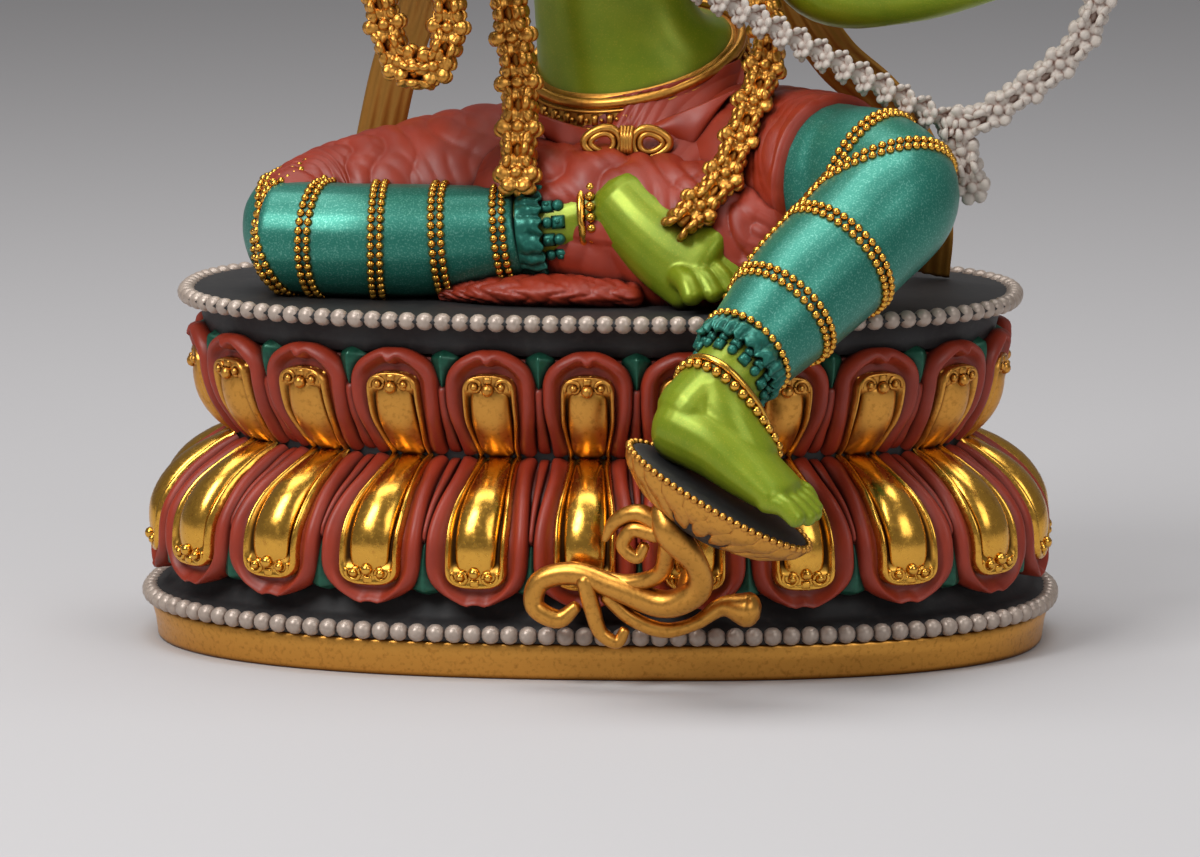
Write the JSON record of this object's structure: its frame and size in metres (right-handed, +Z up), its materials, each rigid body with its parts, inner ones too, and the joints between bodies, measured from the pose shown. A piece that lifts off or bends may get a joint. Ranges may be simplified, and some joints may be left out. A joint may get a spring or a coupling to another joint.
{
  "type": "kurukulla statue",
  "caption": "Seated four-armed goddess statuette drawing a flower bow, on an oval double-lotus plinth with a small lotus under one foot.",
  "frame": {"origin": "centre of the plinth's underside, on the surface it stands on", "axes": "-Z is the underside's normal, +Z runs up to the finial, and the front faces -Y"},
  "size_m": [0.278, 0.1905, 0.305],
  "materials": {
    "red_paint": "satin brick-red paint over resin",
    "green_paint": "metallic lime-green paint over resin",
    "teal_paint": "teal paint with fine metallic glitter",
    "dark_green_paint": "dark metallic green paint",
    "black_paint": "matte black paint",
    "pearl_paint": "satin grey-pink pearl paint",
    "white_paint": "matte white paint with brown wash",
    "bright_gold": "bright gold paint, worn to brown in places",
    "antique_gold": "dull gold paint with brown wash",
    "brown_gold": "dark brown-gold paint with black edges"
  },
  "bodies": {
    "root": {"plinth": "red_paint", "figure": "green_paint", "foot_lotus": "antique_gold", "flower_bow": "white_paint", "flower_arrow": "bright_gold", "flower_hook": "antique_gold", "flower_noose": "antique_gold", "scarf_right": "brown_gold", "scarf_left": "brown_gold"}
  },
  "joints": []
}
